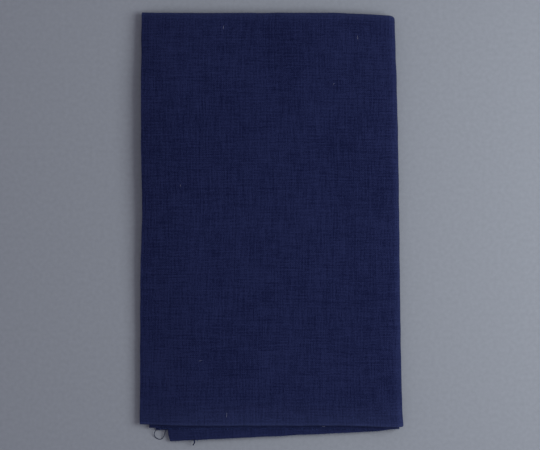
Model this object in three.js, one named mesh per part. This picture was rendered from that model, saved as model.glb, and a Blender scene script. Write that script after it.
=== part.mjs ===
import * as THREE from "three";

// A long cotton hand towel, folded in four along its length and then once across its width.
// Millimetres. X runs across the folded towel, Y runs along it and Z is up.
// The front half is the upper half of the stack. The rear half lies under it, on the surface.

// The flat cloth
const clothWidth = 290;
const clothThickness = 1;

// Air between neighbouring layers, and between the two halves of the stack
const layerGap = 0.1;
const heartGap = 0.3;

// The front panel, measured at its outer layer
const panelTop = 130;
const panelBottom = -120.8;
const panelLeft = -80.1;
const bendEdgeAtBottom = 80.3;
const bendEdgeAtTop = 74.8;

// The two cut ends, which lie at the lower edge of the stack
const shortCutEnd = -117.7;
const longCutEnd = -122.7;

// The four layers of a half, from the outside in: the panel that shows, the one under it, the one
// with the short cut end and the one with the long cut end. The shifts say how far a layer's selvedge
// has slid to the right of the panel's, at the crown (upper folds) and at the foot (lower edge).
const layers = [
  { shiftAtCrown: 0, shiftAtFoot: 0 },
  { shiftAtCrown: 5.4, shiftAtFoot: 0 },
  { shiftAtCrown: 5.4, shiftAtFoot: 17.9 },
  { shiftAtCrown: 0, shiftAtFoot: 5.5 },
];

// How far the long cut end runs past its front length, at the bend and at the far selvedge
const longEndSkew = { start: 30, atBend: 1.35, atSelvedge: 1.95, reachUp: 60 };

// Sags where the cloth has less beneath it: how far in, and by how much
const sideSag = { drop: 3, reach: 34.4 };
const footSag = { drop: 0.8, reach: 3.5 };
const crownSag = { drop: 0.95, reach: 6.9 };

// Unevenness of the outline
const bendWave = { size: 0.55, length: 300, start: -15 };
const selvedgeLean = { slope: 0.0048, level: -90 };
const selvedgePinch = { size: 0.95, middle: 12, spread: 26 };
const crownLift = { size: 0.6, from: -45, reach: 34 };
const crownFall = { size: 2, from: 35, reach: 40 };
const crownFade = { from: 60, to: 130 };
const flapCorner = { pull: 1.1, from: -122, reach: 9, rightOf: -40 };

// Unevenness of the thickness, as a share of the height
const hollows = { share: 0.05, lengthX: 150, lengthY: 190, phaseX: 0.6, phaseY: 0.9 };
const middleDip = { share: 0.045, middle: -22, spread: 45 };

// Fineness of the solid. Steps along a layer crowd towards its two ends. Steps across it are
// finer in a band beside each selvedge, where the cloth sags, and even between the bands.
const runSteps = 12;
const crownSteps = 6;
const footSteps = 4;
const acrossSteps = { frontBand: 6, frontPanel: 6, bend: 8, rearPanel: 5, rearBand: 5 };
const frontBandWidth = 38;
const rearPanelWidth = 105;

// Depths are measured down from the outer face of a half towards the middle of the stack
const layerPitch = clothThickness + layerGap;
const halfDepth = layers.length * clothThickness + (layers.length - 1) * layerGap;
const bendRadius = halfDepth + heartGap / 2;
const outerFace = (index) => index * layerPitch;
const innerFace = (index) => outerFace(index) + clothThickness;
const middleOf = (index) => outerFace(index) + clothThickness / 2;

// Centres of the folds, seen from the side of the stack
const crownCentre = { along: panelTop - halfDepth / 2, depth: halfDepth / 2 };
const footCentre = { along: panelBottom + innerFace(1) / 2, depth: innerFace(1) / 2 };
const outerLoop = crownCentre.depth - middleOf(0);
const innerLoop = crownCentre.depth - middleOf(1);
const footLoop = footCentre.depth - middleOf(0);

// The line that the four layers are folded round, seen from above
const bendLean = Math.atan((bendEdgeAtBottom - bendEdgeAtTop) / (panelTop - panelBottom));
const bendFoot = new THREE.Vector2(bendEdgeAtBottom - bendRadius, panelBottom);
const acrossBend = new THREE.Vector2(Math.cos(bendLean), Math.sin(bendLean));
const alongBend = new THREE.Vector2(-Math.sin(bendLean), Math.cos(bendLean));

// The selvedge of the rear half's lowest layer, which carries everything above it
const restingSelvedge = { atMiddle: -51.2, slope: -Math.tan(2 * bendLean) };

const clamp01 = (value) => Math.min(1, Math.max(0, value));

function smooth(value) {
  const t = clamp01(value);
  return t * t * (3 - 2 * t);
}

// The section of the folded length, as rows of the cloth from the long cut end to the short one.
// A row has the place of the cloth's middle along the towel and down through the stack, the way
// that its outer face points, and how far its selvedge is shifted.
function foldedLength() {
  const rows = [];
  const crown = crownCentre.along;
  const foot = footCentre.along;

  function layerRow(index, share, facing, lowest = foot) {
    const layer = layers[index];
    rows.push({
      along: Math.max(lowest, THREE.MathUtils.lerp(crown, foot, share)),
      depth: middleOf(index),
      faceAlong: 0,
      faceDepth: facing,
      shift: THREE.MathUtils.lerp(layer.shiftAtCrown, layer.shiftAtFoot, share),
    });
  }

  function layerRun(index, towardsCrown, facing, lowest) {
    for (let step = 0; step <= runSteps; step += 1) {
      const share = (1 - Math.cos((Math.PI * step) / runSteps)) / 2;
      layerRow(index, towardsCrown ? 1 - share : share, facing, lowest);
    }
  }

  function turn(centre, radius, steps, startAngle, facing, shift) {
    const sweep = centre === crownCentre ? -2 * startAngle : -Math.PI;
    for (let step = 1; step < steps; step += 1) {
      const angle = startAngle + (sweep * step) / steps;
      rows.push({
        along: centre.along + radius * Math.cos(angle),
        depth: centre.depth + radius * Math.sin(angle),
        faceAlong: facing * Math.cos(angle),
        faceDepth: facing * Math.sin(angle),
        shift,
      });
    }
  }

  const deepSide = Math.PI / 2;
  const shallowSide = -Math.PI / 2;
  layerRow(3, 1, 1);
  rows[0].along = longCutEnd;
  layerRun(3, true, 1);
  turn(crownCentre, outerLoop, crownSteps, deepSide, 1, layers[0].shiftAtCrown);
  layerRun(0, false, -1);
  turn(footCentre, footLoop, footSteps, shallowSide, 1, layers[0].shiftAtFoot);
  layerRun(1, true, 1);
  turn(crownCentre, innerLoop, crownSteps, shallowSide, -1, layers[1].shiftAtCrown);
  layerRun(2, false, -1, shortCutEnd);
  return rows;
}

// Signed distance past the bend line of a point that is still flat
function pastBend(x, along) {
  return (x - bendFoot.x) * acrossBend.x + (along - bendFoot.y) * acrossBend.y;
}

// A step across the cloth, told as the stretch that it falls in and how far through it
function stretchAt(station) {
  let left = station;
  for (const [name, steps] of Object.entries(acrossSteps)) {
    if (left <= steps) {
      return { name, share: left / steps };
    }
    left -= steps;
  }
  throw new RangeError("no such step across the cloth");
}

// Folds one point of the cloth round the right-hand edge. Its stretch of the row lies on the front
// half, in the bend or on the rear half. The face is half a cloth to one side of the middle.
function foldAcross(row, station, face) {
  const { name, share } = stretchAt(station);
  const { lerp } = THREE.MathUtils;
  const along = row.along + row.faceAlong * face;
  const depth = row.depth + row.faceDepth * face;
  const nearSelvedge = panelLeft + row.shift;
  const bendX = bendFoot.x - (along - bendFoot.y) * Math.tan(bendLean);
  const turnLength = Math.PI * (bendRadius - row.depth);
  let past;
  let reach;
  let height;
  let skew;

  if (name === "bend") {
    past = turnLength * share;
    reach = (bendRadius - depth) * Math.sin(Math.PI * share);
    height = bendRadius + (bendRadius - depth) * Math.cos(Math.PI * share);
    skew = longEndSkew.atBend;
  } else if (name.startsWith("front")) {
    const bandEnd = panelLeft + frontBandWidth;
    const x = name === "frontBand" ? lerp(nearSelvedge, bandEnd, share) : lerp(bandEnd, bendX, share);
    past = pastBend(x, along);
    reach = past;
    height = 2 * bendRadius - depth;
    skew = longEndSkew.atBend * smooth((x - longEndSkew.start) / (bendX - longEndSkew.start));
  } else {
    const rearWidth = pastBend(nearSelvedge + clothWidth, along) - turnLength;
    const width = name === "rearPanel" ? rearPanelWidth * share : lerp(rearPanelWidth, rearWidth, share);
    past = turnLength + width;
    reach = -width;
    height = depth;
    skew = lerp(longEndSkew.atBend, longEndSkew.atSelvedge, width / rearWidth);
  }

  const isLongEnd = row.depth === middleOf(3);
  const endShare = isLongEnd ? smooth(1 - (along - longCutEnd) / longEndSkew.reachUp) : 0;
  const length = (along - skew * endShare - bendFoot.y) / Math.cos(bendLean) - past * Math.tan(bendLean);
  const place = bendFoot.clone().addScaledVector(acrossBend, reach).addScaledVector(alongBend, length);
  return new THREE.Vector3(place.x, place.y, height);
}

// Sinks the stack where its rear half is narrower, shorter or turned away beneath the front
function sag(point) {
  const overSide = Math.max(0, restingSelvedge.atMiddle + restingSelvedge.slope * point.y - point.x);
  const turnedDown = (bendFoot.x - point.x) * Math.tan(2 * bendLean);
  const overFoot = Math.max(0, panelBottom - turnedDown - point.y);
  const overCrown = Math.max(0, point.y - panelTop + turnedDown);
  point.z -= sideSag.drop * (overSide / sideSag.reach) ** 2;
  point.z -= footSag.drop * (overFoot / footSag.reach) ** 2;
  point.z -= crownSag.drop * (overCrown / crownSag.reach) ** 2;
}

// Presses broad hollows into the height, with the lowest face left flat
function settle(point) {
  const waveX = Math.sin((2 * Math.PI * point.x) / hollows.lengthX + hollows.phaseX);
  const waveY = Math.cos((2 * Math.PI * point.y) / hollows.lengthY + hollows.phaseY);
  const hollow = (hollows.share * (1 - waveX * waveY)) / 2;
  const fromMiddle = (point.y - middleDip.middle) / middleDip.spread;
  point.z *= 1 - hollow - middleDip.share * Math.exp(-fromMiddle * fromMiddle);
}

// Gives the outline its uneven edges
function wander(point) {
  const { x, y } = point;
  const towardsBend = smooth((x - panelLeft) / (bendFoot.x - panelLeft));
  const fromPinch = (y - selvedgePinch.middle) / selvedgePinch.spread;
  const selvedge = selvedgeLean.slope * (y - selvedgeLean.level)
    + selvedgePinch.size * Math.exp(-fromPinch * fromPinch);
  point.x += bendWave.size * Math.sin((2 * Math.PI * (y - bendWave.start)) / bendWave.length) * towardsBend;
  point.x += selvedge * (1 - towardsBend);
  if (x < flapCorner.rightOf && y < flapCorner.from) {
    point.x += flapCorner.pull * ((flapCorner.from - y) / flapCorner.reach) ** 2;
  }
  const atCrown = smooth((y - crownFade.from) / (crownFade.to - crownFade.from));
  point.y += crownLift.size * clamp01((crownLift.from - x) / crownLift.reach) ** 2 * atCrown;
  point.y -= crownFall.size * clamp01((x - crownFall.from) / crownFall.reach) ** 1.5 * atCrown;
}

// The flat cloth is a slab, a step across for each unit of X and a row along for each unit of Y.
// Every corner of it is folded to its place.
function makeTowel() {
  const rows = foldedLength();
  const rowSteps = rows.length - 1;
  const stations = Object.values(acrossSteps).reduce((total, count) => total + count, 0);
  const geometry = new THREE.BoxGeometry(stations, rowSteps, clothThickness, stations, rowSteps, 1);
  const corners = geometry.getAttribute("position");
  for (let index = 0; index < corners.count; index += 1) {
    const station = Math.round(corners.getX(index) + stations / 2);
    const row = rows[Math.round(corners.getY(index) + rowSteps / 2)];
    const point = foldAcross(row, station, -corners.getZ(index));
    sag(point);
    settle(point);
    wander(point);
    corners.setXYZ(index, point.x, point.y, point.z);
  }
  geometry.computeBoundingBox();
  const middle = geometry.boundingBox.getCenter(new THREE.Vector3());
  geometry.translate(-middle.x, -middle.y, 0);
  geometry.computeVertexNormals();
  const cotton = new THREE.MeshStandardMaterial({ color: 0x1b2040, roughness: 0.95, metalness: 0 });
  const mesh = new THREE.Mesh(geometry, cotton);
  mesh.name = "towel";
  return mesh;
}

const foldedTowel = new THREE.Group();
foldedTowel.add(makeTowel());

export default foldedTowel;
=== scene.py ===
import math
import random

import bpy
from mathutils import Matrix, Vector, noise


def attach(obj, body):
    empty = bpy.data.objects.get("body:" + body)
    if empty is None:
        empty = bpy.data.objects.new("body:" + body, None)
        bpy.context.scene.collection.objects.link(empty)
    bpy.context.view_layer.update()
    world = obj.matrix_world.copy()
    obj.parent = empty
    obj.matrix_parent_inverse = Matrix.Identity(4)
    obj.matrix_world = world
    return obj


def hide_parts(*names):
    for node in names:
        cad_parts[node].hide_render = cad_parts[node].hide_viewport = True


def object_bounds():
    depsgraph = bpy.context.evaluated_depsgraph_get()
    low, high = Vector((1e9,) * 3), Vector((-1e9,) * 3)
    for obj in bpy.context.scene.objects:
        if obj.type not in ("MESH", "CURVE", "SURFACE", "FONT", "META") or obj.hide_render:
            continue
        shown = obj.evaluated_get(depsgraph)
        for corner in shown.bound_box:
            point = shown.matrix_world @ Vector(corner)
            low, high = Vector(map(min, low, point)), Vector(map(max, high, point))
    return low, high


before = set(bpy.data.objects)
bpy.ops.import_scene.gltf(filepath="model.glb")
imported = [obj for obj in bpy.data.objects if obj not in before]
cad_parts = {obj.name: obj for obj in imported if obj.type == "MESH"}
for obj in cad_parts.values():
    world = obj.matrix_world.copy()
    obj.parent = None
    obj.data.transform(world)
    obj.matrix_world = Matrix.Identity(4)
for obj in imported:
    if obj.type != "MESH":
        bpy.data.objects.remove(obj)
cad_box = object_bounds()
bpy.ops.object.select_all(action="DESELECT")
random.seed(7)

# Folded tenugui towel. Lengths are millimetres, in the frame of the solid: X across the folded
# towel, Y along it and Z up. MM turns them to metres where a mesh, a node or the camera is given
# them.
MM = 0.001

# The flat cloth, the solid's depth of half the stack, and the gap between the two halves
CLOTH_WIDTH = 290.0
CLOTH_THICKNESS = 0.6
HALF_DEPTH = 4.3
HEART_GAP = 0.3

# The front panel, measured at its outer layer, and where the two cut ends come out
PANEL_TOP = 130.0
PANEL_BOTTOM = -120.8
PANEL_LEFT = -80.1
BEND_EDGE_AT_BOTTOM = 80.3
BEND_EDGE_AT_TOP = 74.8
SHORT_CUT_END = -117.7
LONG_CUT_END = -122.7

# The four layers of a half from the outside in, and how far each selvedge has slid to the right
# of the panel's at the crown and at the foot
LAYERS = [
    {"at_crown": 0.0, "at_foot": 0.0},
    {"at_crown": 5.4, "at_foot": 0.0},
    {"at_crown": 5.4, "at_foot": 17.9},
    {"at_crown": 0.0, "at_foot": 5.5},
]
INNERMOST = len(LAYERS) - 1

# How far the long cut end has slid down, at the bend and at its far selvedge. In the front half the
# slide grows from its start to the bend, and it fades out over a reach up the towel.
LONG_END_SKEW = {"start": 30.0, "at_bend": 1.35, "at_selvedge": 1.95, "reach_up": 60.0}

# Sags where the cloth has less beneath it, and where the rear half's selvedge lies under the front
SIDE_SAG = {"drop": 3.0, "reach": 34.4}
FOOT_SAG = {"drop": 0.8, "reach": 3.5}
CROWN_SAG = {"drop": 0.95, "reach": 6.9}
RESTING_SELVEDGE = -51.2

# Unevenness of the outline
BEND_WAVE = {"size": 0.55, "length": 300.0, "start": -15.0}
SELVEDGE_LEAN = {"slope": 0.0048, "level": -90.0}
SELVEDGE_PINCH = {"size": 0.95, "middle": 12.0, "spread": 26.0}
CROWN_LIFT = {"size": 0.6, "start": -45.0, "reach": 34.0}
CROWN_FALL = {"size": 2.0, "start": 35.0, "reach": 40.0, "power": 1.5}
CROWN_FADE = {"start": 60.0, "end": 130.0}
FLAP_CORNER = {"pull": 1.6, "start": -122.0, "reach": 9.0, "right_of": -40.0}

# Unevenness of the height, as shares of it: broad hollows, and a dip across the middle
HOLLOWS = {"share": 0.05, "length_x": 150.0, "length_y": 190.0, "phase_x": 0.6, "phase_y": 0.9}
MIDDLE_DIP = {"share": 0.045, "middle": -22.0, "spread": 45.0}

# Forms of the corners. Each grows from its start over its reach, across and along the towel, and a
# reach below nought grows to the left or downwards. Both left corners lie flatter than the rest.
FLAT_CORNERS = [
    {"share": 0.30, "start_x": -42.0, "reach_x": -34.0, "start_y": 30.0, "reach_y": -125.0},
    {"share": 0.24, "start_x": -50.0, "reach_x": -30.0, "start_y": 80.0, "reach_y": 46.0},
]
# The long cut end flares past the bend, and its far corner has slid to the left
FLARE = {"pull": 1.7, "rise": 1.0, "start_x": 64.0, "reach_x": 10.0, "start_y": -118.4, "reach_y": -3.4}
FLAP_SLIDE = {"size": 1.1, "start_x": -45.0, "reach_x": -14.0, "start_y": -110.0, "reach_y": -10.0}
# The panel's left corner has crept up, and its corner at the bend hangs lower and wider
PANEL_CORNER = {"lift": 0.3, "start_x": -58.0, "reach_x": -20.0, "start_y": -104.0, "reach_y": -14.0}
BEND_CORNER = {"drop": 0.9, "widen": 0.5,
               "start_x": 44.0, "reach_x": 27.0, "start_y": -110.0, "reach_y": -9.0}

# Loose lie of the layers: each one waves on its own, not at all at the bottom of the stack and less
# near its top. "apart" and "rear_apart" keep the layers' waves unlike one another.
LAYER_WAVE = {"size": 0.34, "length": 34.0, "apart": 3.7, "rear_apart": 90.0,
              "fade_below": 0.18, "top_reach": 0.1, "top_share": 0.4}
OUTLINE_WAVE = {"size": 0.22, "length": 11.0, "apart": 9.0}

# Soft creases of the front panel. Middle of the crease, its turn from the Y axis in
# degrees, half its length, half its width, and its depth. A ridge has a depth below nought. The foot
# has one crease all the way across, just above the panel's lower edge.
CREASES = [
    {"x": 3.0, "y": 92.0, "turn": 8, "length": 46, "width": 7.0, "depth": 0.22},
    {"x": 38.0, "y": 52.0, "turn": -12, "length": 40, "width": 8.0, "depth": 0.18},
    {"x": -46.0, "y": 66.0, "turn": 5, "length": 60, "width": 11.0, "depth": 0.12},
    {"x": -20.0, "y": -62.0, "turn": -10, "length": 44, "width": 9.0, "depth": 0.16},
    {"x": 44.0, "y": -86.0, "turn": 14, "length": 34, "width": 8.0, "depth": 0.14},
    {"x": 20.0, "y": 20.0, "turn": 3, "length": 60, "width": 10.0, "depth": -0.14},
    {"x": 62.0, "y": 10.0, "turn": 2, "length": 90, "width": 6.0, "depth": -0.10},
]
FOOT_CREASE = {"above": 2.3, "width": 1.0, "depth": 0.16}

# Fineness of the sheet, and the sharpest turn, in degrees, that is still shaded smooth
PANEL_ROWS = 120
INNER_ROWS = 66
OUTER_CROWN_ROWS = 12
TIGHT_TURN_ROWS = 10
ACROSS = [("front", 56), ("bend", 14), ("rear", 40)]
SMOOTH_UP_TO = 50

# Worked out from the sizes above: the layers' depths, the turns at the crown and the foot, the bend
LAYER_GAP = (HALF_DEPTH - len(LAYERS) * CLOTH_THICKNESS) / INNERMOST
LAYER_PITCH = CLOTH_THICKNESS + LAYER_GAP
BEND_RADIUS = HALF_DEPTH + HEART_GAP / 2
HALF_CLOTH = CLOTH_THICKNESS / 2
LAYER_DEPTHS = [HALF_CLOTH + LAYER_PITCH * index for index in range(len(LAYERS))]

CROWN_DEPTH = HALF_DEPTH / 2
CROWN_LINE = PANEL_TOP - CROWN_DEPTH
OUTER_LOOP = CROWN_DEPTH - LAYER_DEPTHS[0]
INNER_LOOP = CROWN_DEPTH - LAYER_DEPTHS[1]
FOOT_DEPTH = (LAYER_DEPTHS[0] + LAYER_DEPTHS[1]) / 2
FOOT_LOOP = FOOT_DEPTH - LAYER_DEPTHS[0]
FOOT_LINE = PANEL_BOTTOM + FOOT_LOOP + HALF_CLOTH

BEND_LEAN = math.atan((BEND_EDGE_AT_BOTTOM - BEND_EDGE_AT_TOP) / (PANEL_TOP - PANEL_BOTTOM))
BEND_FOOT = (BEND_EDGE_AT_BOTTOM - BEND_RADIUS, PANEL_BOTTOM)


def lerp(start, end, share):
    return start + (end - start) * share


def clamp01(value):
    return min(1.0, max(0.0, value))


def smooth(value):
    share = clamp01(value)
    return share * share * (3 - 2 * share)


def bell(distance, spread):
    return math.exp(-((distance / spread) ** 2))


def grown(form, x, y):
    """How far a corner's form has grown at a point, from nought to one."""
    across = smooth((x - form["start_x"]) / form["reach_x"])
    return across * smooth((y - form["start_y"]) / form["reach_y"])


def folded_length():
    """Rows of the cloth from the long cut end to the short one: where the cloth's middle lies
    along the towel and down through the stack, how far its selvedge is shifted, its layer, and in
    a turn the two layers that the turn joins."""
    found = []

    def add(along, depth, shift, layer, joined=None):
        found.append({"along": along, "depth": depth, "shift": shift, "layer": layer, "turn": joined})

    def run(layer, start, end, steps):
        for step in range(steps + 1):
            along = lerp(start, end, step / steps)
            share = (CROWN_LINE - along) / (CROWN_LINE - FOOT_LINE)
            shift = lerp(LAYERS[layer]["at_crown"], LAYERS[layer]["at_foot"], share)
            add(along, LAYER_DEPTHS[layer], shift, layer)

    def turn(line, depth, radius, steps, start, sweep, shift, joined):
        for step in range(1, steps):
            angle = start + sweep * step / steps
            layer = lerp(joined[0], joined[1], step / steps)
            add(line + radius * math.cos(angle), depth + radius * math.sin(angle), shift, layer, joined)

    quarter = math.pi / 2
    run(3, LONG_CUT_END, CROWN_LINE, INNER_ROWS)
    turn(CROWN_LINE, CROWN_DEPTH, OUTER_LOOP, OUTER_CROWN_ROWS, quarter, -math.pi, 0.0, (3, 0))
    run(0, CROWN_LINE, FOOT_LINE, PANEL_ROWS)
    turn(FOOT_LINE, FOOT_DEPTH, FOOT_LOOP, TIGHT_TURN_ROWS, -quarter, -math.pi, 0.0, (0, 1))
    run(1, FOOT_LINE, CROWN_LINE, INNER_ROWS)
    turn(CROWN_LINE, CROWN_DEPTH, INNER_LOOP, TIGHT_TURN_ROWS, -quarter, math.pi,
         LAYERS[1]["at_crown"], (1, 2))
    run(2, CROWN_LINE, SHORT_CUT_END, INNER_ROWS)
    return found


def lengths_to(folded):
    """Flat distance of each row from the long cut end."""
    lengths = [0.0]
    for before, row in zip(folded, folded[1:]):
        step = math.hypot(row["along"] - before["along"], row["depth"] - before["depth"])
        lengths.append(lengths[-1] + step)
    return lengths


def columns():
    """Steps across the cloth: the stretch that each lies in, and its share of that stretch."""
    steps = []
    for stretch, count in ACROSS:
        for step in range(0 if stretch == "front" else 1, count + 1):
            steps.append((stretch, step / count))
    return steps


def bend_line(along):
    """Where the bend starts across the towel. Its line leans to the left, going up."""
    return BEND_FOOT[0] - (along - BEND_FOOT[1]) * math.tan(BEND_LEAN)


def past_bend(x, along):
    """How far a point of the front half lies past the bend's line, square to it."""
    return (x - BEND_FOOT[0]) * math.cos(BEND_LEAN) + (along - BEND_FOOT[1]) * math.sin(BEND_LEAN)


def flat_width(row, stretch, share):
    """Distance of a point from the near selvedge, on the flat cloth."""
    front_width = bend_line(row["along"]) - PANEL_LEFT - row["shift"]
    turn_length = math.pi * (BEND_RADIUS - row["depth"])
    if stretch == "front":
        return front_width * share
    if stretch == "bend":
        return front_width + turn_length * share
    return lerp(front_width + turn_length, CLOTH_WIDTH, share)


def fold_across(row, stretch, share):
    """Folds a point of a row round the right-hand edge. Gives where it lies across and along the
    towel, and its height."""
    along = row["along"]
    near = PANEL_LEFT + row["shift"]
    radius = BEND_RADIUS - row["depth"]
    turn_length = math.pi * radius
    if stretch == "front":
        x = lerp(near, bend_line(along), share)
        past = past_bend(x, along)
        reach = past
        height = BEND_RADIUS + radius
        start = LONG_END_SKEW["start"]
        skew = LONG_END_SKEW["at_bend"] * smooth((x - start) / (bend_line(along) - start))
    elif stretch == "bend":
        past = turn_length * share
        reach = radius * math.sin(math.pi * share)
        height = BEND_RADIUS + radius * math.cos(math.pi * share)
        skew = LONG_END_SKEW["at_bend"]
    else:
        rear_width = past_bend(near + CLOTH_WIDTH, along) - turn_length
        past = turn_length + rear_width * share
        reach = -rear_width * share
        height = row["depth"]
        skew = lerp(LONG_END_SKEW["at_bend"], LONG_END_SKEW["at_selvedge"], share)
    if row["layer"] == INNERMOST:
        along -= skew * smooth(1 - (along - LONG_CUT_END) / LONG_END_SKEW["reach_up"])
    length = (along - BEND_FOOT[1]) / math.cos(BEND_LEAN) - past * math.tan(BEND_LEAN)
    x = BEND_FOOT[0] + reach * math.cos(BEND_LEAN) - length * math.sin(BEND_LEAN)
    y = BEND_FOOT[1] + reach * math.sin(BEND_LEAN) + length * math.cos(BEND_LEAN)
    return x, y, height


def sag(x, y, z):
    """Lets the front half down where it reaches past the rear half's selvedge, foot or crown."""
    turned = math.tan(2 * BEND_LEAN)
    over_side = max(0.0, RESTING_SELVEDGE - turned * y - x)
    turned_down = (BEND_FOOT[0] - x) * turned
    over_foot = max(0.0, PANEL_BOTTOM - turned_down - y)
    over_crown = max(0.0, y - PANEL_TOP + turned_down)
    for form, over in ((SIDE_SAG, over_side), (FOOT_SAG, over_foot), (CROWN_SAG, over_crown)):
        z -= form["drop"] * (over / form["reach"]) ** 2
    return z


def settle(x, y, z):
    """Makes the height uneven: hollows, the middle's dip and the flatter left corners."""
    wave_x = math.sin(2 * math.pi * x / HOLLOWS["length_x"] + HOLLOWS["phase_x"])
    wave_y = math.cos(2 * math.pi * y / HOLLOWS["length_y"] + HOLLOWS["phase_y"])
    hollow = HOLLOWS["share"] * (1 - wave_x * wave_y) / 2
    dip = MIDDLE_DIP["share"] * bell(y - MIDDLE_DIP["middle"], MIDDLE_DIP["spread"])
    flat = sum(corner["share"] * grown(corner, x, y) for corner in FLAT_CORNERS)
    return z * (1 - hollow - dip - flat)


def crease_depth(x, y):
    """How deep the soft creases are at a point, all together."""
    depth = 0.0
    for crease in CREASES:
        angle = math.radians(crease["turn"])
        dx = x - crease["x"]
        dy = y - crease["y"]
        across = dx * math.cos(angle) + dy * math.sin(angle)
        along = dy * math.cos(angle) - dx * math.sin(angle)
        depth += crease["depth"] * bell(across, crease["width"]) * bell(along, crease["length"])
    return depth


def shape_corners(row, stretch, x, y):
    """The small slides and pulls of a layer's corners."""
    if row["layer"] == INNERMOST:
        flared = grown(FLARE, x, y)
        x += FLARE["pull"] * flared
        y += FLARE["rise"] * flared
        if stretch == "rear":
            x -= FLAP_SLIDE["size"] * grown(FLAP_SLIDE, x, y)
    if row["layer"] <= 1:
        if stretch == "front":
            y += PANEL_CORNER["lift"] * grown(PANEL_CORNER, x, y)
        hanging = grown(BEND_CORNER, x, y)
        x += BEND_CORNER["widen"] * hanging
        y -= BEND_CORNER["drop"] * hanging
    return x, y


def wander(x, y):
    """Makes the outline uneven at the bend, the selvedges, the crown and the flap's corner."""
    towards_bend = smooth((x - PANEL_LEFT) / (BEND_FOOT[0] - PANEL_LEFT))
    selvedge = SELVEDGE_LEAN["slope"] * (y - SELVEDGE_LEAN["level"])
    selvedge += SELVEDGE_PINCH["size"] * bell(y - SELVEDGE_PINCH["middle"], SELVEDGE_PINCH["spread"])
    wave = math.sin(2 * math.pi * (y - BEND_WAVE["start"]) / BEND_WAVE["length"])
    new_x = x + BEND_WAVE["size"] * wave * towards_bend + selvedge * (1 - towards_bend)
    if x < FLAP_CORNER["right_of"] and y < FLAP_CORNER["start"]:
        new_x += FLAP_CORNER["pull"] * ((FLAP_CORNER["start"] - y) / FLAP_CORNER["reach"]) ** 2
    at_crown = smooth((y - CROWN_FADE["start"]) / (CROWN_FADE["end"] - CROWN_FADE["start"]))
    lift = CROWN_LIFT["size"] * clamp01((CROWN_LIFT["start"] - x) / CROWN_LIFT["reach"]) ** 2
    fall_share = clamp01((x - CROWN_FALL["start"]) / CROWN_FALL["reach"]) ** CROWN_FALL["power"]
    return new_x, y + (lift - CROWN_FALL["size"] * fall_share) * at_crown


def own_wave(row, stretch, x, y, height_share):
    """How far a layer waves above or below its lie."""
    own = LAYER_WAVE["apart"] * row["layer"]
    if stretch == "rear":
        own += LAYER_WAVE["rear_apart"]
    free = smooth(height_share / LAYER_WAVE["fade_below"])
    free *= smooth((1.0 - height_share) / LAYER_WAVE["top_reach"] + LAYER_WAVE["top_share"])
    return LAYER_WAVE["size"] * free * noise.noise(Vector((x, y, own)) / LAYER_WAVE["length"])


def place(row, stretch, share, row_length):
    """The folded place of a point on the cloth's middle."""
    x, y, z = fold_across(row, stretch, share)
    height_share = z / (2 * BEND_RADIUS)
    upper = smooth((height_share - 0.5) * 2)
    z = settle(x, y, sag(x, y, z)) - crease_depth(x, y) * upper
    if row["layer"] < 1:
        above_foot = y - PANEL_BOTTOM - FOOT_CREASE["above"]
        z -= FOOT_CREASE["depth"] * bell(above_foot, FOOT_CREASE["width"]) * upper
    x, y = wander(*shape_corners(row, stretch, x, y))
    z += own_wave(row, stretch, x, y, height_share)
    flat = Vector((x, row_length, 0.0)) / OUTLINE_WAVE["length"]
    x += OUTLINE_WAVE["size"] * noise.noise(flat)
    y += OUTLINE_WAVE["size"] * noise.noise(flat + Vector((0.0, 0.0, OUTLINE_WAVE["apart"])))
    return Vector((x, y, max(z, HALF_CLOTH)))


rows = folded_length()
row_lengths = lengths_to(rows)
steps_across = columns()


def fold_towel():
    """The whole cloth as a grid, each point moved to its folded place. Its UV map is the flat
    cloth in metres."""
    last_column = len(steps_across) - 1
    last_row = len(rows) - 1
    bpy.ops.mesh.primitive_grid_add(
        x_subdivisions=last_column, y_subdivisions=last_row, size=1.0, calc_uvs=True)
    sheet = bpy.context.object
    sheet.name = "folded_towel"
    flat = {}
    for vertex in sheet.data.vertices:
        stretch, share = steps_across[round((vertex.co.x + 0.5) * last_column)]
        at = round((vertex.co.y + 0.5) * last_row)
        flat[vertex.index] = (flat_width(rows[at], stretch, share) * MM, row_lengths[at] * MM)
        vertex.co = place(rows[at], stretch, share, row_lengths[at]) * MM
    uv = sheet.data.uv_layers.active.data
    for loop in sheet.data.loops:
        uv[loop.index].uv = flat[loop.vertex_index]
    return sheet


def centre_on_solid(sheet):
    """Moves the sheet's middle over the solid's, and gives how far that was."""
    spots = [vertex.co for vertex in sheet.data.vertices]
    solid_low, solid_high = cad_box
    move = Vector((0.0, 0.0, 0.0))
    for axis in (0, 1):
        low = min(spot[axis] for spot in spots)
        high = max(spot[axis] for spot in spots)
        move[axis] = (solid_low[axis] + solid_high[axis] - low - high) / 2
    for vertex in sheet.data.vertices:
        vertex.co += move
    return move


def thicken(sheet):
    """Gives the sheet its thickness, half to either side, and shades its turns smooth."""
    solid = sheet.modifiers.new("cloth_thickness", "SOLIDIFY")
    solid.thickness = CLOTH_THICKNESS * MM
    solid.offset = 0.0
    bpy.context.view_layer.objects.active = sheet
    bpy.ops.object.modifier_apply(modifier=solid.name)
    sheet.select_set(True)
    bpy.ops.object.shade_smooth_by_angle(angle=math.radians(SMOOTH_UP_TO))
    sheet.select_set(False)


towel = fold_towel()
centring = centre_on_solid(towel)
thicken(towel)


# Indigo cotton. The real threads lie about half a millimetre apart, which is too fine to show. They
# are drawn 0.6 mm apart both ways, and with thicker yarns about every third thread, which is as
# coarse as the weave needs to show.
THREAD_PITCH = 0.6
# A thicker yarn's distance from the next and how far it wanders, in threads
THICK_YARNS = {"every": 3.1, "wander": 4.44}
# Slubs: their length in threads, how far apart the threads' places in the noise lie, and the noise
SLUB = {"length": 24.0, "spread": 137.0, "detail": 2.0, "roughness": 0.6}
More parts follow.
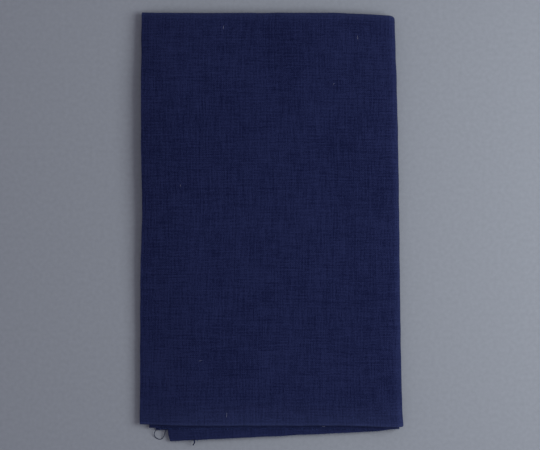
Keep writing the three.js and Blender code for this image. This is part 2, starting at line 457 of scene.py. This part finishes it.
# Fine grain at the crossings and slow mottle of the dye: the size of each, and its detail
CROSSING_GRAIN = {"size": 0.8, "detail": 2.0}
MOTTLE = {"size": 37.5, "detail": 1.0}
# How much each of them weighs in the tone, and the tones of the dark and the pale dye
TONE_SHARES = {"weave": 0.12, "warp": 0.62, "weft": 0.58, "thick_yarns": 0.04, "crossing": 0.9,
               "mottle": 0.14}
TONE_RANGE = (0.83, 1.39)
# Relief of the threads, for the bump
RELIEF = {"strength": 0.5, "depth": 0.1}
DYE_DARK = "#0b1139"
DYE_PALE = "#252b57"
PALE_WEAR_AND_HIGHLIGHT = "#5a669e"
# Cotton scatters light evenly, with a little fuzz that catches it at a low angle
COTTON_FINISH = {"Roughness": 0.92, "Specular IOR Level": 0.15, "Sheen Weight": 0.1,
                 "Sheen Roughness": 0.45}
FUZZ_TINT = "#8f97c8"

# Paler bands along the panel's folds and the bend, partly dye rubbed away and partly a painted highlight
# where the turned cloth faces the light, and paler towards the flap's cut end: how far to either side
# it reaches, and by how much
FOLD_WEAR_AND_HIGHLIGHT = {"crown": [(7.0, 0.09), (2.8, 0.14)], "foot": [(18.0, 0.07), (2.2, 0.12)]}
FLAP_END_PALER = (30.0, 0.035)
BEND_WEAR_AND_HIGHLIGHT = (9.0, 0.05)

# Painted light and shade on the front panel, standing in for the light and shade of its unevenness:
# place, reach and how much paler, or darker below nought
LIGHT_AND_SHADE_PATCHES = [
    (3.7, 108.0, 30.0, -0.11),
    (36.0, 54.0, 22.0, -0.09),
    (-62.0, 50.0, 40.0, -0.07),
    (-21.0, -86.0, 18.0, -0.05),
    (-60.0, -92.0, 34.0, 0.11),
    (62.0, 104.0, 26.0, 0.07),
]


def linear(hex_colour):
    """An sRGB hex colour as linear RGBA."""
    channels = [int(hex_colour[at:at + 2], 16) / 255 for at in (1, 3, 5)]
    return [c / 12.92 if c <= 0.04045 else ((c + 0.055) / 1.055) ** 2.4 for c in channels] + [1.0]


def add_node(tree, kind, settings=None, links=None):
    """One shader node: its settings by name, its inputs' values or the sockets that feed them."""
    node = tree.nodes.new(kind)
    for name, value in (settings or {}).items():
        setattr(node, name, value)
    for name, value in (links or {}).items():
        if isinstance(value, bpy.types.NodeSocket):
            tree.links.new(value, node.inputs[name])
        else:
            node.inputs[name].default_value = value
    return node


def new_material(name, finish):
    """A material with its uniform values on the shader's own sockets."""
    material = bpy.data.materials.new(name)
    material.use_nodes = True
    shader = material.node_tree.nodes["Principled BSDF"]
    for socket, value in finish.items():
        shader.inputs[socket].default_value = value
    return material, material.node_tree, shader


def flat_place(x, y):
    """Where a point of the front panel lies on the flat cloth, in metres."""
    first = next(index for index, row in enumerate(rows) if row["layer"] == 0)
    along = row_lengths[first] + rows[first]["along"] - y
    return ((x - PANEL_LEFT) * MM, along * MM, 0.0)


def wear_and_highlight_bands():
    """Each paler band, on the folds and the bend partly worn dye and partly painted highlight: whether it
    is measured along the cloth or beside the bend, its middle in metres, its reach to either side, and
    how much paler it is."""
    bands = []
    for fold, joined in (("crown", (3, 0)), ("foot", (0, 1))):
        turning = [length for row, length in zip(rows, row_lengths) if row["turn"] == joined]
        middle = (turning[0] + turning[-1]) / 2
        for reach, paler in FOLD_WEAR_AND_HIGHLIGHT[fold]:
            bands.append(("along", middle * MM, reach, paler))
    bands.append(("along", 0.0, *FLAP_END_PALER))
    quarter_turn = math.pi / 2 * (BEND_RADIUS - LAYER_DEPTHS[0])
    across, along, _ = flat_place(BEND_FOOT[0] + quarter_turn, BEND_FOOT[1])
    bands.append(("beside_bend", across - along * math.tan(BEND_LEAN), *BEND_WEAR_AND_HIGHLIGHT))
    return bands


def thread_tone(tree, across, along):
    """Slubs: each thread's own tone, which drifts along its length and owes nothing to the next."""
    index = add_node(tree, "ShaderNodeMath", {"operation": "FLOOR"}, {0: across})
    seed = add_node(tree, "ShaderNodeTexWhiteNoise", {"noise_dimensions": "1D"},
                    {"W": index.outputs[0]})
    far = add_node(tree, "ShaderNodeMath", {"operation": "MULTIPLY"},
                   {0: seed.outputs["Value"], 1: SLUB["spread"]})
    drift = add_node(tree, "ShaderNodeMath", {"operation": "MULTIPLY_ADD"},
                     {0: along, 1: 1 / SLUB["length"], 2: far.outputs[0]})
    own = add_node(tree, "ShaderNodeCombineXYZ", None, {"X": far.outputs[0], "Y": drift.outputs[0]})
    return add_node(tree, "ShaderNodeTexNoise", {"noise_dimensions": "2D"},
                    {"Vector": own.outputs[0], "Scale": 1.0, "Detail": SLUB["detail"],
                     "Roughness": SLUB["roughness"]})


def woven_tone(tree, threads):
    """Tone of the weave, read from the place on the cloth counted in threads: the threads' over
    and under, their slubs, the thicker yarns, the grain at the crossings and the dye's mottle."""
    crossing, mottle = (
        add_node(tree, "ShaderNodeTexNoise", {"noise_dimensions": "2D"},
                 {"Vector": threads, "Scale": THREAD_PITCH / pattern["size"],
                  "Detail": pattern["detail"]})
        for pattern in (CROSSING_GRAIN, MOTTLE))
    split = add_node(tree, "ShaderNodeSeparateXYZ", None, {0: threads})
    warp = thread_tone(tree, split.outputs["X"], split.outputs["Y"])
    weft = thread_tone(tree, split.outputs["Y"], split.outputs["X"])
    a_thread = math.pi
    a_thick_yarn = 2 * math.pi / THICK_YARNS["every"]
    sway = add_node(tree, "ShaderNodeMath", {"operation": "MULTIPLY"},
                    {0: mottle.outputs[0], 1: THICK_YARNS["wander"] * a_thick_yarn})
    waves = {}
    for axis in ("X", "Y"):
        for name, turn, start in (("fine", a_thread, 0.0), ("thick", a_thick_yarn, sway.outputs[0])):
            angle = add_node(tree, "ShaderNodeMath", {"operation": "MULTIPLY_ADD"},
                             {0: split.outputs[axis], 1: turn, 2: start})
            waves[name, axis] = add_node(tree, "ShaderNodeMath", {"operation": "SINE"},
                                         {0: angle.outputs[0]})
    weave = add_node(tree, "ShaderNodeMath", {"operation": "MULTIPLY"},
                     {0: waves["fine", "X"].outputs[0], 1: waves["fine", "Y"].outputs[0]})
    tone = 0.0
    for part, name in ((weave, "weave"), (warp, "warp"), (weft, "weft"),
                       (waves["thick", "X"], "thick_yarns"), (waves["thick", "Y"], "thick_yarns"),
                       (crossing, "crossing"), (mottle, "mottle")):
        tone = add_node(tree, "ShaderNodeMath", {"operation": "MULTIPLY_ADD"},
                        {0: part.outputs[0], 1: TONE_SHARES[name], 2: tone}).outputs[0]
    return tone


def painted_light_and_shade(tree, on_cloth, tone):
    """Adds to a tone the painted light and shade of the front panel: paler and darker patches."""
    for x, y, reach, paler in LIGHT_AND_SHADE_PATCHES:
        away = add_node(tree, "ShaderNodeVectorMath", {"operation": "DISTANCE"},
                        {0: on_cloth, 1: flat_place(x, y)})
        patch = add_node(tree, "ShaderNodeMapRange", {"interpolation_type": "SMOOTHSTEP"},
                         {"Value": away.outputs["Value"], "From Min": 0.0, "From Max": reach * MM,
                          "To Min": paler, "To Max": 0.0})
        tone = add_node(tree, "ShaderNodeMath", {"operation": "ADD"},
                        {0: tone, 1: patch.outputs[0]}).outputs[0]
    return tone


def wear_and_highlight_share(tree, on_cloth):
    """How much paler the cloth is, from worn dye and a painted highlight on the folds and the bend: most
    on a fold or the cut end, fading to either side.
    """
    split = add_node(tree, "ShaderNodeSeparateXYZ", None, {0: on_cloth})
    beside_bend = add_node(tree, "ShaderNodeMath", {"operation": "MULTIPLY_ADD"},
                           {0: split.outputs["Y"], 1: -math.tan(BEND_LEAN), 2: split.outputs["X"]})
    measures = {"along": split.outputs["Y"], "beside_bend": beside_bend.outputs[0]}
    paled_sum = 0.0
    for measure, middle, reach, paler in wear_and_highlight_bands():
        away = add_node(tree, "ShaderNodeMath", {"operation": "SUBTRACT"},
                        {0: measures[measure], 1: middle})
        distance = add_node(tree, "ShaderNodeMath", {"operation": "ABSOLUTE"}, {0: away.outputs[0]})
        paled = add_node(tree, "ShaderNodeMapRange", {"interpolation_type": "SMOOTHSTEP"},
                          {"Value": distance.outputs[0], "From Min": 0.0, "From Max": reach * MM,
                           "To Min": paler, "To Max": 0.0})
        paled_sum = add_node(tree, "ShaderNodeMath", {"operation": "ADD"},
                        {0: paled_sum, 1: paled.outputs[0]}).outputs[0]
    return paled_sum


def indigo_cotton():
    """Piece-dyed plain-weave cotton: dull navy, with slub yarns that read as long faint streaks both
    ways, a fine grain at every crossing, painted patches of light and shade on the front panel, and the
    folds and the bend a little paler, partly from worn dye and partly a painted highlight."""
    material, tree, shader = new_material("indigo_dyed_plain_weave_cotton", COTTON_FINISH)
    shader.inputs["Sheen Tint"].default_value = linear(FUZZ_TINT)
    on_cloth = add_node(tree, "ShaderNodeUVMap", {"uv_map": "UVMap"}).outputs[0]
    threads = add_node(tree, "ShaderNodeVectorMath", {"operation": "SCALE"},
                       {0: on_cloth, "Scale": 1 / (THREAD_PITCH * MM)})
    tone = painted_light_and_shade(tree, on_cloth, woven_tone(tree, threads.outputs[0]))
    depth_of_dye = add_node(tree, "ShaderNodeMapRange", None,
                            {"Value": tone, "From Min": TONE_RANGE[0], "From Max": TONE_RANGE[1]})
    dyed = add_node(tree, "ShaderNodeMix", {"data_type": "RGBA"},
                    {"Factor": depth_of_dye.outputs[0]})
    dyed.inputs["A"].default_value = linear(DYE_DARK)
    dyed.inputs["B"].default_value = linear(DYE_PALE)
    # Paler along the folds and the bend: partly worn dye, partly a painted highlight; paler towards the
    # cut end
    paled = add_node(tree, "ShaderNodeMix", {"data_type": "RGBA"},
                      {"Factor": wear_and_highlight_share(tree, on_cloth)})
    tree.links.new(dyed.outputs["Result"], paled.inputs["A"])
    paled.inputs["B"].default_value = linear(PALE_WEAR_AND_HIGHLIGHT)
    relief = add_node(tree, "ShaderNodeBump", None,
                      {"Height": tone, "Strength": RELIEF["strength"], "Distance": RELIEF["depth"] * MM})
    tree.links.new(paled.outputs["Result"], shader.inputs["Base Color"])
    tree.links.new(relief.outputs["Normal"], shader.inputs["Normal"])
    return material


# Spun yarns: the length of a fleck, about half a turn of the twist, and how far the flecks go from
# the yarn's colour
YARN_TWIST = {"length": 0.7, "depth": 0.35, "detail": 1.0}
YARN_FINISH = {"Roughness": 0.95, "Specular IOR Level": 0.2}
DYED_YARN = "#1a2148"
# The frayed ends are paler than the yarn: partly fuzz of the frayed fibres, partly a painted highlight of
# the cut edges catching the light.
THREAD_ENDS_WITH_HIGHLIGHT = "#43548f"
UNDYED_COTTON = "#9494b4"

# Stray yarns at the foot, each from the height of the layer that it comes out of. The loop is a
# single thread, and the loose end a few of them together.
YARN_LOOP = [(-70.2, -123.4, 2.5), (-71.5, -126.2, 1.2), (-71.2, -127.8, 0.6), (-69.7, -129.2, 0.3),
             (-68.3, -129.7, 0.25), (-66.9, -129.4, 0.35), (-66.0, -128.3, 0.8), (-65.3, -126.7, 1.5),
             (-64.2, -123.4, 2.6)]
YARN_END = [(-47.1, -129.4, 3.7), (-46.8, -131.3, 3.1), (-47.3, -132.3, 2.4), (-47.8, -133.1, 1.9)]
LOOP_THICKNESS = 0.42
END_THICKNESS = 0.75
# How finely a yarn is drawn, round it and from knot to knot
YARN_ROUNDNESS = 1
STEPS_A_KNOT = 4

# Undyed fibres caught on the panel: middle, turn from the Y axis in degrees, and length
FIBRES = [(-29.0, 121.1, 10, 2.0), (52.3, 114.9, -6, 2.4), (37.8, 86.8, 30, 1.2), (-55.0, 25.2, -20, 1.2),
          (-42.9, -81.0, 75, 1.6), (-27.1, -113.9, 0, 2.8), (31.8, -121.3, 88, 1.8)]
FIBRE_THICKNESS = 0.13
# A fibre's knots as shares of its length with their lift off the cloth, how it sways sideways, and
# a height well above the cloth, from which its place on the cloth is looked for
FIBRE_KNOTS = [(-0.5, 0.1), (-0.15, 0.17), (0.2, 0.19), (0.5, 0.12)]
FIBRE_SWAY = {"share": 0.03, "turn": 4.0}
WELL_ABOVE = 50.0

# Ends of the lengthwise threads left standing past each cut end. "buried" is the part of an end
# inside the cloth, and "upward" the most that one points up.
FRAY = {"apart": 0.62, "uneven": 0.2, "thickness": 0.34, "tip": 0.136, "shortest": 0.25,
        "longest": 1.0, "lean": 0.35, "upward": 0.1, "buried": 0.3}


def spun_yarn(name, hex_colour):
    """Loose spun fibres: soft fuzz with no shine, where the twist shows as darker and paler flecks."""
    material, tree, shader = new_material(name, YARN_FINISH)
    on_yarn = add_node(tree, "ShaderNodeTexCoord")
    twist = add_node(tree, "ShaderNodeTexNoise", None,
                     {"Vector": on_yarn.outputs["Object"], "Scale": 1 / (YARN_TWIST["length"] * MM),
                      "Detail": YARN_TWIST["detail"]})
    fleck = add_node(tree, "ShaderNodeMix", {"data_type": "RGBA"}, {"Factor": twist.outputs[0]})
    for socket, share in (("A", 1 - YARN_TWIST["depth"]), ("B", 1 + YARN_TWIST["depth"])):
        tinted = [channel * share for channel in linear(hex_colour)[:3]]
        fleck.inputs[socket].default_value = tinted + [1.0]
    tree.links.new(fleck.outputs["Result"], shader.inputs["Base Color"])
    return material


def loose_yarn(name, points, thickness):
    """A stray yarn drawn through its points as a round curve, then made a mesh."""
    bpy.ops.curve.primitive_bezier_curve_add()
    yarn = bpy.context.object
    yarn.name = name
    curve = yarn.data
    curve.dimensions = "3D"
    spline = curve.splines[0]
    spline.bezier_points.add(len(points) - len(spline.bezier_points))
    for knot, point in zip(spline.bezier_points, points):
        knot.co = Vector(point) * MM
        knot.handle_left_type = "AUTO"
        knot.handle_right_type = "AUTO"
    curve.bevel_depth = thickness / 2 * MM
    curve.bevel_resolution = YARN_ROUNDNESS
    curve.resolution_u = STEPS_A_KNOT
    curve.use_fill_caps = True
    bpy.ops.object.convert(target="MESH")
    bpy.ops.object.shade_smooth()
    yarn = bpy.context.object
    yarn.select_set(False)
    return yarn


def undyed_fibres():
    """Pale fibres laid on the front panel, as one mesh."""
    fibres = []
    for x, y, turn, length in FIBRES:
        angle = math.radians(turn)
        points = []
        for step, lift in FIBRE_KNOTS:
            sway = FIBRE_SWAY["share"] * length * math.sin(FIBRE_SWAY["turn"] * step)
            px = x + step * length * math.sin(angle) + sway * math.cos(angle)
            py = y + step * length * math.cos(angle) - sway * math.sin(angle)
            above = Vector((px, py, WELL_ABOVE)) * MM
            _, spot, _, _ = towel.ray_cast(above, Vector((0.0, 0.0, -1.0)))
            points.append((px, py, spot.z / MM + lift))
        fibres.append(loose_yarn("undyed_fibre", points, FIBRE_THICKNESS))
    for fibre in fibres:
        fibre.select_set(True)
    bpy.context.view_layer.objects.active = fibres[0]
    bpy.ops.object.join()
    joined = bpy.context.object
    joined.name = "undyed_fibres"
    joined.select_set(False)
    return joined


def frayed_end(name, end, inner, length):
    """Short thread ends past a cut end: a row of thin three-sided cones in one mesh."""
    across = [(flat_width(end, stretch, share), stretch, share) for stretch, share in steps_across]
    for index in range(int(CLOTH_WIDTH / FRAY["apart"])):
        flat = FRAY["apart"] * (index + 0.5 + random.uniform(-FRAY["uneven"], FRAY["uneven"]))
        after = next(at for at, step in enumerate(across) if step[0] >= flat)
        left, right = across[after - 1], across[after]
        mix = (flat - left[0]) / (right[0] - left[0])
        edge_left = place(end, left[1], left[2], length)
        edge_right = place(end, right[1], right[2], length)
        behind_left = place(inner, left[1], left[2], length)
        behind_right = place(inner, right[1], right[2], length)
        root = edge_left.lerp(edge_right, mix)
        way = (root - behind_left.lerp(behind_right, mix)).normalized()
        way += (edge_right - edge_left).normalized() * random.uniform(-FRAY["lean"], FRAY["lean"])
        way.z += random.uniform(-FRAY["lean"], FRAY["upward"])
        way.normalize()
        reach = lerp(FRAY["shortest"], FRAY["longest"], random.random() ** 2)
        middle = root + way * ((reach - FRAY["buried"]) / 2)
        bpy.ops.mesh.primitive_cone_add(
            vertices=3, radius1=FRAY["thickness"] / 2 * MM, radius2=FRAY["tip"] / 2 * MM,
            depth=(reach + FRAY["buried"]) * MM, location=middle * MM + centring,
            rotation=way.to_track_quat("Z", "Y").to_euler())
        if index == 0:
            bpy.ops.object.transform_apply(location=True, rotation=True, scale=True)
            bpy.ops.object.mode_set(mode="EDIT")
    bpy.ops.object.mode_set(mode="OBJECT")
    fray = bpy.context.object
    fray.name = name
    fray.select_set(False)
    return fray


cotton = indigo_cotton()
towel.data.materials.append(cotton)
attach(towel, "root")
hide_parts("towel")

dyed_yarn = spun_yarn("indigo_dyed_spun_cotton_yarn", DYED_YARN)
# Frayed thread ends, paler than the yarn, partly a painted highlight of the cut edges
thread_ends_with_highlight = spun_yarn("indigo_dyed_frayed_thread_ends_with_painted_highlight", THREAD_ENDS_WITH_HIGHLIGHT)
undyed = spun_yarn("undyed_raw_cotton_fibre", UNDYED_COTTON)
stray = [
    (loose_yarn("yarn_loop", YARN_LOOP, LOOP_THICKNESS), dyed_yarn),
    (loose_yarn("yarn_end", YARN_END, END_THICKNESS), dyed_yarn),
    (undyed_fibres(), undyed),
    (frayed_end("frayed_long_end", rows[0], rows[1], row_lengths[0]), thread_ends_with_highlight),
    (frayed_end("frayed_short_end", rows[-1], rows[-2], row_lengths[-1]), thread_ends_with_highlight),
]
for piece, material in stray:
    piece.data.materials.append(material)
    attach(piece, "root")


# The studio: pale card on the floor, one soft light from the right, and an even sky. The floor's
# side, the light's place and side, and the camera's distance are metres. The card's speckle is
# coarser than the fibres of real card, as coarse as it needs to show.
FLOOR_SIDE = 6.0
CARD_FINISH = {"Roughness": 0.9, "Specular IOR Level": 0.2}
CARD_SPECKLE = {"size": 2.38, "detail": 3.0, "dark": "#9a9ba9", "pale": "#a9aab9"}
KEY_LIGHT = {"place": (0.5, 0.025, 0.46), "side": 0.46, "energy": 2.77, "colour": (0.96, 1.05, 0.97)}
SKY = {"colour": "#eceef4", "strength": 0.33}

# The camera straight above, how wide its picture is at the towel, and where its middle lies
CAMERA_DISTANCE = 1.0
SENSOR_WIDTH = 36.0
VIEW_WIDTH = 327.3
CAMERA_OFFSET = (-0.8, 1.3)


def pale_card():
    """Uncoated card: matt and even, with a faint speckle of its fibres."""
    material, tree, shader = new_material("pale_matt_card", CARD_FINISH)
    on_card = add_node(tree, "ShaderNodeTexCoord")
    fibres = add_node(tree, "ShaderNodeTexNoise", None,
                      {"Vector": on_card.outputs["Object"], "Scale": 1 / (CARD_SPECKLE["size"] * MM),
                       "Detail": CARD_SPECKLE["detail"]})
    speckle = add_node(tree, "ShaderNodeMix", {"data_type": "RGBA"}, {"Factor": fibres.outputs[0]})
    speckle.inputs["A"].default_value = linear(CARD_SPECKLE["dark"])
    speckle.inputs["B"].default_value = linear(CARD_SPECKLE["pale"])
    tree.links.new(speckle.outputs["Result"], shader.inputs["Base Color"])
    return material


def studio():
    bpy.ops.mesh.primitive_plane_add(size=FLOOR_SIDE, location=(0.0, 0.0, 0.0))
    floor = bpy.context.object
    floor.name = "floor"
    floor.data.materials.append(pale_card())
    floor.select_set(False)

    bpy.ops.object.light_add(type="AREA", location=KEY_LIGHT["place"])
    key = bpy.context.object
    key.name = "soft_key"
    key.data.shape = "RECTANGLE"
    key.data.size = KEY_LIGHT["side"]
    key.data.size_y = KEY_LIGHT["side"]
    key.data.energy = KEY_LIGHT["energy"]
    key.data.color = KEY_LIGHT["colour"]
    key.rotation_euler = (Vector((0, 0, 0)) - key.location).to_track_quat("-Z", "Y").to_euler()
    key.select_set(False)

    world = bpy.data.worlds.new("studio")
    world.use_nodes = True
    sky = world.node_tree.nodes["Background"]
    sky.inputs["Color"].default_value = linear(SKY["colour"])
    sky.inputs["Strength"].default_value = SKY["strength"]
    bpy.context.scene.world = world
    bpy.context.scene.view_settings.view_transform = "Standard"


def camera_above():
    bpy.ops.object.camera_add(
        location=(CAMERA_OFFSET[0] * MM, CAMERA_OFFSET[1] * MM, CAMERA_DISTANCE + 2 * BEND_RADIUS * MM),
        rotation=(0.0, 0.0, 0.0))
    camera = bpy.context.object
    camera.name = "camera_above"
    camera.data.sensor_width = SENSOR_WIDTH
    camera.data.lens = SENSOR_WIDTH * CAMERA_DISTANCE / (VIEW_WIDTH * MM)
    bpy.context.scene.camera = camera
    camera.select_set(False)


studio()
camera_above()
